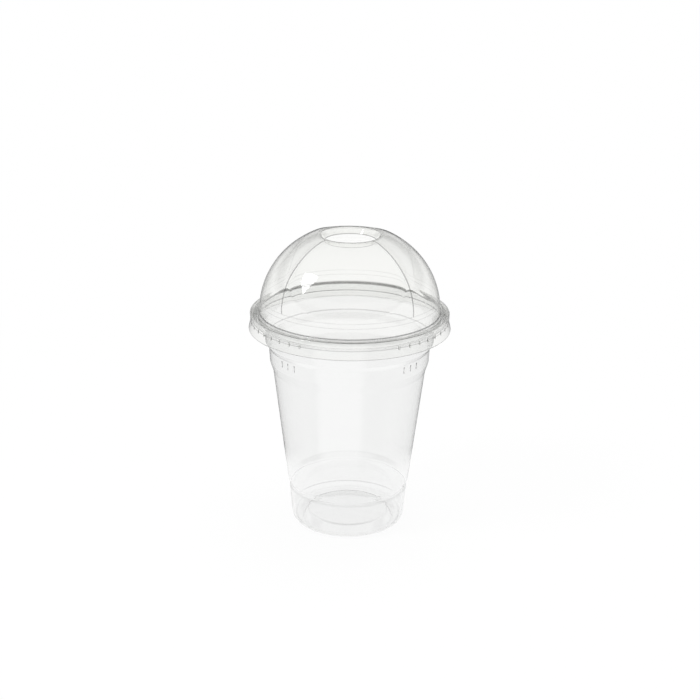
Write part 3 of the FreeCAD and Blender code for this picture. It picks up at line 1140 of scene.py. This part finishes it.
@dataclass
class DomeLid:
    """Lid with a skirt, flange, ring, four-panelled dome and lipped hole. Sizes in metres."""

    wall: float = 0.25 * MM
    seat_clearance: float = 0.2 * MM
    skirt_clearance: float = 0.3 * MM
    skirt_snap_height: float = 3.9 * MM
    skirt_flare: float = 0.9 * MM
    skirt_flare_height: float = 4.1 * MM
    flange_overhang: float = 0.3 * MM
    root_inset: float = 4.4 * MM
    root_draft: float = 0.25 * MM
    root_height: float = 5.2 * MM
    ring_inset: float = 0.1 * MM
    ring_height: float = 2.3 * MM
    panel_inset: float = 0.15 * MM
    panels: int = 4
    panel_turn: float = math.radians(-2)
    axis_offset: float = 11.0 * MM
    panel_bulge: float = 1.0 * MM
    crease_softness: float = math.radians(0.7)
    inner_softness: float = math.radians(3.5)
    crease_crowding: float = 0.7
    crease_land: float = 0.12 * MM
    land_softness: float = 0.06 * MM
    dome_height: float = 30.55 * MM
    crest_panel_radius: float = 15.5 * MM
    crest_radius: float = 14.4 * MM
    hole_radius: float = 12.4 * MM
    lip_depth: float = 3.05 * MM
    soft_bend: float = 0.45 * MM
    crest_bend: float = 0.7 * MM
    dome_step: float = math.radians(1.2)
    crest_blend: Span = (0.4 * MM, 1.2 * MM)
    # Sizes of the painted shade lines and band along the lid's tight turns and creases.
    shade_line_width: float = 0.45 * MM
    crease_shade_width: float = 0.5 * MM
    skirt_shade_width: float = 0.4 * MM
    ring_shade_width: float = 0.35 * MM
    root_shade_width: float = 0.7 * MM
    root_shade_band_width: float = 1.5 * MM
    root_shade_band_rise: float = 0.7 * MM
    flange_shade_inset: float = 0.5 * MM
    flange_shade_width: float = 1.6 * MM
    segments: int = 320
    rib: Rib = field(default_factory=lambda: Rib(1.2 * MM, 2.0 * MM, 0.15 * MM, 0.12 * MM))
    ribs_per_group: int = 8
    rib_group_angle: float = math.radians(53)
    rib_spacing: float = math.radians(7)

    def levels(self, cup: Cup) -> dict[str, float]:
        """Heights and radii of the lid on its cup.

        Args:
            cup: The cup that the lid sits on.

        Returns:
            Sizes by name.
        """
        flange_top = cup.heights()["rim_top"] + self.seat_clearance + self.wall
        skirt = cup.rim_radius + self.skirt_clearance + self.wall
        ring_low = flange_top + self.root_height
        base = ring_low + self.ring_height
        root = skirt - self.root_inset
        ring = root - self.root_draft - self.ring_inset
        snap = flange_top - self.skirt_snap_height
        crest = base + self.dome_height
        return {"flange_top": flange_top, "skirt": skirt, "snap": snap,
                "skirt_bottom": snap - self.skirt_flare_height, "root": root, "ring_low": ring_low,
                "ring_low_radius": root - self.root_draft, "ring": ring, "base": base,
                "panel_base": ring - self.panel_inset, "crest": crest, "lip": crest - self.lip_depth}

    def shade_rings(self, cup: Cup) -> tuple[BendShade, ...]:
        """Rings of painted shade along the lid's tight turns.

        Args:
            cup: The cup that the lid sits on.

        Returns:
            The rings that are painted darker, standing in for the dark lines and band that light bent by
            the sheet shows.
        """
        size = self.levels(cup)
        edge = size["skirt"] + self.flange_overhang
        flare = size["skirt"] + self.skirt_flare
        shade_band_height = size["flange_top"] + self.root_shade_band_rise
        at_back_and_front = (
            (size["ring_low_radius"], size["ring_low"], self.ring_shade_width, 0.3, 0.3),
            (size["ring"], size["base"], self.ring_shade_width, 0.3, 0.3),
            (size["root"], shade_band_height, self.root_shade_band_width, 0.75, 0.0),
            (size["root"], size["flange_top"], self.root_shade_width, 0.3, 0.95),
            (edge - self.flange_shade_inset, size["flange_top"], self.flange_shade_width, 0.1, 0.1),
            (size["skirt"], size["snap"], self.shade_line_width, 0.1, 0.5),
            (flare, size["skirt_bottom"], self.skirt_shade_width, 0.15, 0.4),
            (self.crest_radius, size["crest"], self.shade_line_width, 0.5, 0.6),
            (self.hole_radius, size["lip"], self.shade_line_width, 0.7, 0.5))
        return tuple(BendShade(*line) for line in at_back_and_front)

    def creases(self, cup: Cup) -> CreaseShade:
        """Painted shade along the creases between the lid's panels."""
        return CreaseShade(count=self.panels, turn=self.panel_turn, low=self.levels(cup)["base"],
                       inner_radius=self.crest_radius, width=self.crease_shade_width,
                       strength=0.75, back_strength=0.2)

    @staticmethod
    def circle_through(a: Vector, b: Vector, c: Vector) -> tuple[Vector, float]:
        """Centre and radius of the circle through three points of the section."""
        twice = 2 * ((b - a).x * (c - a).y - (b - a).y * (c - a).x)
        bb, cc = (b - a).length_squared, (c - a).length_squared
        offset = Vector(((c - a).y * bb - (b - a).y * cc, (b - a).x * cc - (c - a).x * bb)) / twice
        return a + offset, offset.length

    def panel_middle(self, size: dict[str, float]) -> Vector:
        """Point half way up a panel's middle, outside a dome that is round about the axis.

        Args:
            size: Sizes from levels.

        Returns:
            Radius and height of the point.
        """
        low, high = size["panel_base"], self.crest_panel_radius
        rise = size["crest"] ** 2 - size["base"] ** 2
        centre = (rise + high ** 2 - low ** 2) / (2 * (size["crest"] - size["base"]))
        radius = math.hypot(low, size["base"] - centre)
        middle = (size["base"] + size["crest"]) / 2
        return Vector((math.sqrt(radius ** 2 - (middle - centre) ** 2) + self.panel_bulge, middle))

    def panel_circle(self, size: dict[str, float]) -> tuple[Vector, float]:
        """Circle that a panel's middle follows.

        Args:
            size: Sizes from levels.

        Returns:
            Centre in the section, and the radius.
        """
        low = Vector((size["panel_base"], size["base"]))
        high = Vector((self.crest_panel_radius, size["crest"]))
        return self.circle_through(low, self.panel_middle(size), high)

    def crease_radius(self, panel_radius: float) -> float:
        """Distance from the axis to a crease where the panels' middles are at a given radius."""
        half = math.pi / self.panels
        across = self.axis_offset * math.sin(half)
        root = math.sqrt((panel_radius + self.axis_offset) ** 2 - across ** 2)
        return root - self.axis_offset * math.cos(half)

    def land_circle(self, size: dict[str, float]) -> tuple[Vector, float]:
        """Circle that keeps the creases low near the ring.

        Args:
            size: Sizes from levels.

        Returns:
            Centre in the section, and the radius.
        """
        middle = self.panel_middle(size)
        low = Vector((size["ring"] + self.panel_inset, size["base"]))
        half_way = Vector((self.crease_radius(middle.x) - self.crease_land, middle.y))
        high = Vector((self.crease_radius(self.crest_panel_radius) - self.crease_land, size["crest"]))
        return self.circle_through(low, half_way, high)

    def dome_line(self, size: dict[str, float], section: SheetSection) -> list[tuple[Vector, Vector]]:
        """Middle of the wall from the skirt's edge up a panel's middle to the hole's edge.

        Args:
            size: Sizes from levels.
            section: The sheet.

        Returns:
            Pairs of place and left normal.
        """
        soft = self.soft_bend
        centre, radius = self.panel_circle(size)
        start = math.acos((size["ring"] - centre.x) / radius)
        end = math.asin((size["crest"] - centre.y) / radius)
        start_z = centre.y + radius * math.sin(start)
        half = self.wall / 2
        lower = section.middle_corners([
            (size["skirt"] + self.skirt_flare, size["skirt_bottom"], 0.0),
            (size["skirt"], size["snap"], 2 * soft),
            (size["skirt"] + self.flange_overhang, size["flange_top"], soft),
            (size["root"], size["flange_top"], soft),
            (size["ring_low_radius"], size["ring_low"], 2 * soft),
            (size["ring"], start_z, 0.0)])
        upper = section.middle_corners([
            (self.crest_panel_radius, size["crest"], 0.0),
            (self.crest_radius, size["crest"], self.crest_bend),
            (self.hole_radius, size["lip"], 0.0)])
        arc = []
        steps = math.ceil((end - start) / self.dome_step)
        for i in range(1, steps):
            angle = start + (end - start) * i / steps
            outward = Vector((math.cos(angle), math.sin(angle)))
            arc.append((centre + outward * (radius - half), -outward))
        return section.middle(lower) + arc + section.middle(upper)

    def panel_weight(self, place: Point, size: dict[str, float]) -> float:
        """How much of the panels' form a point of the section takes.

        Args:
            place: Radius and height of the point.
            size: Sizes from levels.

        Returns:
            1 on the dome, 0 on the skirt, ring and crest, with a soft change at the crest.
        """
        if place[1] < (size["ring_low"] + size["base"]) / 2:
            return 0.0
        low = self.crest_radius + self.crest_blend[0]
        high = self.crest_panel_radius + self.crest_blend[1]
        share = min(max((place[0] - low) / (high - low), 0.0), 1.0)
        return share * share * (3 - 2 * share)

    def build_shell(self, size: dict[str, float], material: bpy.types.Material) -> bpy.types.Object:
        """Turn the lid's section into its shell and shape its panels.

        Args:
            size: Sizes from levels.
            material: Finish of the sheet.

        Returns:
            The shell, with both of its faces.
        """
        section = SheetSection(self.wall)
        line = self.dome_line(size, section)
        outer = section.face(line, Side.OUTER)
        inner = section.face(line, Side.INNER)
        end = section.rounded_end(line)
        start = section.rounded_end([(place, -normal) for place, normal in line[::-1]])
        loop = outer + end + inner[::-1] + start
        points = loop + loop[:1]
        insets = [0.0] * len(outer) + [self.wall] * (len(points) - len(outer) - 1) + [0.0]
        weights = [self.panel_weight(place, size) for place in points]
        land_centre, land_radius = self.land_circle(size)
        seed = section_mesh("lid_section", points, {"inset": insets, "weight": weights})
        tree = turned_sheet_tree("Turned lid", True)
        return grown_object("lid_shell", seed, tree, {
            "Section Points": len(points), "Segments": self.segments, "Material": material,
            "Panels": self.panels, "Panel Turn": self.panel_turn, "Axis Offset": self.axis_offset,
            "Crease Softness": self.crease_softness, "Inner Softness": self.inner_softness,
            "Crease Crowding": self.crease_crowding, "Ring Radius": size["ring"],
            "Land Centre Radius": land_centre.x, "Land Centre Height": land_centre.y,
            "Land Radius": land_radius, "Land Softness": self.land_softness})

    def build_ribs(self, size: dict[str, float], material: bpy.types.Material) -> bpy.types.Object:
        """Set the snap ribs round the skirt.

        Args:
            size: Sizes from levels.
            material: Finish of the ribs.

        Returns:
            All snap ribs as one piece.
        """
        seed = self.rib.mesh("snap_rib", size["skirt"], size["snap"], 0.0)
        return grown_object("snap_ribs", seed, rib_ring_tree(), {
            "Ribs Per Group": self.ribs_per_group, "Group Angle": self.rib_group_angle,
            "Rib Spacing": self.rib_spacing, "Material": material})

    def build(self, cup: Cup, finish: ClearSheet) -> None:
        """Build the lid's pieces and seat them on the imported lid.

        Args:
            cup: The cup that the lid sits on.
            finish: Finish of the sheet.
        """
        size = self.levels(cup)
        material = finish.build()
        shell = self.build_shell(size, material)
        ribs = self.build_ribs(size, material)
        for piece in (shell, ribs):
            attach(piece, "lid")
            log.info("%s: %d faces", piece.name, len(piece.data.polygons))
        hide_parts("dome_lid")


# Studio


@dataclass
class Lamp:
    """Rectangular softbox.

    Args:
        kind: Which lamp it is.
        direction: From the object to the lamp.
        distance: From the object to the lamp, in metres.
        size: Width and height, in metres.
        power: Power in watts.
    """

    kind: LampKind
    direction: tuple[float, float, float]
    distance: float
    size: tuple[float, float]
    power: float

    def build(self, target: Vector) -> bpy.types.Object:
        """Hang the lamp and aim it.

        Args:
            target: What the lamp points at.

        Returns:
            The lamp.
        """
        light = bpy.data.lights.new(self.kind.value, "AREA")
        light.shape = "RECTANGLE"
        light.size, light.size_y = self.size
        light.energy = self.power
        lamp = scene_object(self.kind.value, light)
        away = Vector(self.direction).normalized()
        lamp.location = target + away * self.distance
        lamp.rotation_euler = away.to_track_quat("Z", "Y").to_euler()
        lamp.visible_glossy = False
        lamp.visible_transmission = False
        return lamp


@dataclass
class Card:
    """Bright card that is seen only as the white patch that the dome mirrors.

    Args:
        patch: Place on the dome that mirrors the card's middle, in metres.
        direction: From the patch to the card.
        distance: From the patch to the card, in metres.
        outline: Corners of the card, to the right and up as its mirror image shows them, in metres.
        brightness: Strength of its glow.
    """

    patch: tuple[float, float, float] = (-19.0 * MM, -32.3 * MM, 133.0 * MM)
    direction: tuple[float, float, float] = (-0.626, -0.326, 0.709)
    distance: float = 150.0 * MM
    outline: tuple[Point, ...] = (
        (-34 * MM, 28 * MM), (-22 * MM, 38 * MM), (4 * MM, 40 * MM), (12 * MM, 26 * MM), (14 * MM, 4 * MM),
        (13 * MM, -22 * MM), (13 * MM, -46 * MM), (3 * MM, -30 * MM), (-19 * MM, -6 * MM))
    brightness: float = 12.0

    def finish(self) -> bpy.types.Material:
        """Glowing white."""
        material = bare_material("bright card")
        tree = material.node_tree
        glow = tree.nodes.new("ShaderNodeEmission")
        glow.inputs["Strength"].default_value = self.brightness
        tree.links.new(glow.outputs[0], tree.nodes["Material Output"].inputs["Surface"])
        return material

    def build(self) -> None:
        """Hang the card so that only mirrored rays meet it."""
        away = Vector(self.direction).normalized()
        right = Vector((-away.y, away.x, 0.0)).normalized()
        upward = away.cross(right)
        middle = Vector(self.patch) + away * self.distance
        corners = [middle + right * u + upward * v for u, v in self.outline]
        mesh = bpy.data.meshes.new("bright_card")
        mesh.from_pydata(corners, [], [tuple(range(len(corners)))])
        mesh.materials.append(self.finish())
        card = scene_object("bright_card", mesh)
        card.visible_camera = False
        card.visible_diffuse = False
        card.visible_transmission = False
        card.visible_volume_scatter = False
        card.visible_shadow = False


@dataclass
class Studio:
    """White sweep, softboxes, surroundings and camera.

    Args:
        floor_size: Side of the floor, in metres.
        floor_drop: How far the floor lies below the foot, in metres.
        room_mirrored: Sine of the elevation and brightness of the room where the sheet mirrors it.
        room_bent: The same where thick or bent places of the sheet throw the view there.
        lens: Focal length in millimetres.
        sensor: Width of the camera's sensor in millimetres.
        distance: From the camera to the point that it looks at, in metres.
        elevation: Angle of the camera above the horizon, in radians.
        roll: Turn of the camera about its line of sight, in radians.
        aim: Point that the camera looks at.
        lamps: The softboxes.
        card: The card that the dome mirrors.
        bounces: Bounces of light that are followed, in all and through clear sheet.
        mirror_bounces: Mirrored bounces that are followed.
    """

    floor_size: float = 30.0
    floor_drop: float = 0.02 * MM
    room_mirrored: tuple[Point, ...] = ((0.0, 0.45), (0.1, 0.45), (0.2, 0.12), (0.5, 0.12), (0.85, 0.55))
    room_bent: tuple[Point, ...] = (
        (0.0, 1.0), (0.08, 1.0), (0.2, 0.12), (0.33, 0.12), (0.38, 0.8), (0.5, 0.8), (0.56, 0.12),
        (0.85, 0.5))
    lens: float = 76.5
    sensor: float = 36.0
    distance: float = 727.0 * MM
    elevation: float = math.radians(19.88)
    roll: float = math.radians(0.61)
    aim: tuple[float, float, float] = (0.29 * MM, 0.0, 89.2 * MM)
    lamps: tuple[Lamp, ...] = (
        Lamp(LampKind.KEY, (-0.603, -0.323, 0.732), 1.2, (0.3, 0.3), 8.0),
        Lamp(LampKind.TOP, (0.1, 0.2, 1.0), 1.5, (0.9, 0.9), 12.0),
        Lamp(LampKind.FILL, (0.9, -0.5, 0.35), 1.6, (0.5, 0.9), 6.0),
    )
    card: Card = field(default_factory=Card)
    bounces: int = 24
    mirror_bounces: int = 12

    def build_floor(self) -> None:
        """Lay the white floor."""
        half = self.floor_size / 2
        mesh = bpy.data.meshes.new("white_floor")
        mesh.from_pydata([(-half, -half, 0), (half, -half, 0), (half, half, 0), (-half, half, 0)],
                         [], [(0, 1, 2, 3)])
        finish = SweepFloor(name="white sweep", paint=(0.9, 0.9, 0.9), shadow_share=0.035, shadow_reach=0.4,
                            dark_mirrored=0.08, side_mirrored=0.3)
        mesh.materials.append(finish.build())
        floor = scene_object("white_floor", mesh)
        floor.location.z = -self.floor_drop

    @staticmethod
    def ramp(tree: bpy.types.NodeTree, sine: bpy.types.NodeSocket,
             stops: tuple[Point, ...]) -> bpy.types.NodeSocket:
        """Add a ramp of brightness over the height of a direction.

        Args:
            tree: The world's tree.
            sine: Sine of the direction's elevation.
            stops: Sine and brightness of each stop.

        Returns:
            The brightness.
        """
        node = tree.nodes.new("ShaderNodeValToRGB")
        marks = node.color_ramp.elements
        while len(marks) < len(stops):
            marks.new(1.0)
        for mark, (place, level) in zip(marks, stops):
            mark.position = place
            mark.color = (level, level, level, 1.0)
        tree.links.new(sine, node.inputs["Fac"])
        return node.outputs["Color"]

    def build_surroundings(self) -> None:
        """Make the world: white to the eye, a dim room where the sheet mirrors or bends the view."""
        world = bpy.data.worlds.new("studio")
        bpy.context.scene.world = world
        world.use_nodes = True
        tree = world.node_tree
        tree.nodes.clear()
        link = tree.links.new
        output = tree.nodes.new("ShaderNodeOutputWorld")
        background = tree.nodes.new("ShaderNodeBackground")
        path = tree.nodes.new("ShaderNodeLightPath")
        place = tree.nodes.new("ShaderNodeTexCoord")
        split = tree.nodes.new("ShaderNodeSeparateXYZ")
        link(place.outputs["Generated"], split.inputs[0])
        mirrored = self.ramp(tree, split.outputs["Z"], self.room_mirrored)
        bent = self.ramp(tree, split.outputs["Z"], self.room_bent)
        either = tree.nodes.new("ShaderNodeMix")
        either.data_type = "RGBA"
        link(path.outputs["Is Transmission Ray"], either.inputs["Factor"])
        link(mirrored, either.inputs["A"])
        link(bent, either.inputs["B"])
        seen = tree.nodes.new("ShaderNodeMix")
        seen.data_type = "RGBA"
        seen.inputs["B"].default_value = (1.0, 1.0, 1.0, 1.0)
        link(path.outputs["Is Camera Ray"], seen.inputs["Factor"])
        link(either.outputs["Result"], seen.inputs["A"])
        link(seen.outputs["Result"], background.inputs["Color"])
        link(background.outputs[0], output.inputs["Surface"])

    def build_camera(self) -> None:
        """Stand the camera where the photograph was taken from."""
        data = bpy.data.cameras.new("camera")
        data.lens = self.lens
        data.sensor_width = self.sensor
        camera = scene_object("camera", data)
        back = Vector((0.0, -math.cos(self.elevation), math.sin(self.elevation)))
        camera.location = Vector(self.aim) + back * self.distance
        level = back.to_track_quat("Z", "Y").to_matrix()
        camera.rotation_euler = (level @ Matrix.Rotation(self.roll, 3, "Z")).to_euler()
        bpy.context.scene.camera = camera

    def build(self) -> None:
        """Build the whole studio."""
        self.build_floor()
        self.build_surroundings()
        for lamp in self.lamps:
            lamp.build(Vector(self.aim))
        self.card.build()
        self.build_camera()
        scene = bpy.context.scene
        scene.view_settings.view_transform = "Standard"
        scene.cycles.max_bounces = self.bounces
        scene.cycles.transmission_bounces = self.bounces
        scene.cycles.glossy_bounces = self.mirror_bounces
        log.info("studio: %d lamps", len(self.lamps))


def main() -> None:
    """Build the cup, its lid and the studio."""
    cup = Cup()
    lid = DomeLid()
    cup.build(ClearSheet(
        name="clear cup sheet", tint=(0.962, 0.964, 0.962), edge_shade_tint=(0.8, 0.8, 0.8), refraction=1.57,
        haze=0.01, haze_spread=0.03, ripple=0.02 * MM, ripple_size=60.0,
        bend_shade_tint=(0.3, 0.3, 0.3), shade_rings=cup.shade_rings()))
    lid.build(cup, ClearSheet(
        name="clear lid sheet", tint=(0.991, 0.993, 0.981), edge_shade_tint=(0.5, 0.5, 0.49), refraction=1.57,
        haze=0.01, haze_spread=0.03, ripple=0.02 * MM, ripple_size=70.0,
        bend_shade_tint=(0.2, 0.2, 0.2), shade_rings=lid.shade_rings(cup), creases=lid.creases(cup)))
    Studio().build()


if __name__ == "__main__":
    logging.basicConfig(level=logging.INFO, format="%(name)s %(message)s")
    main()
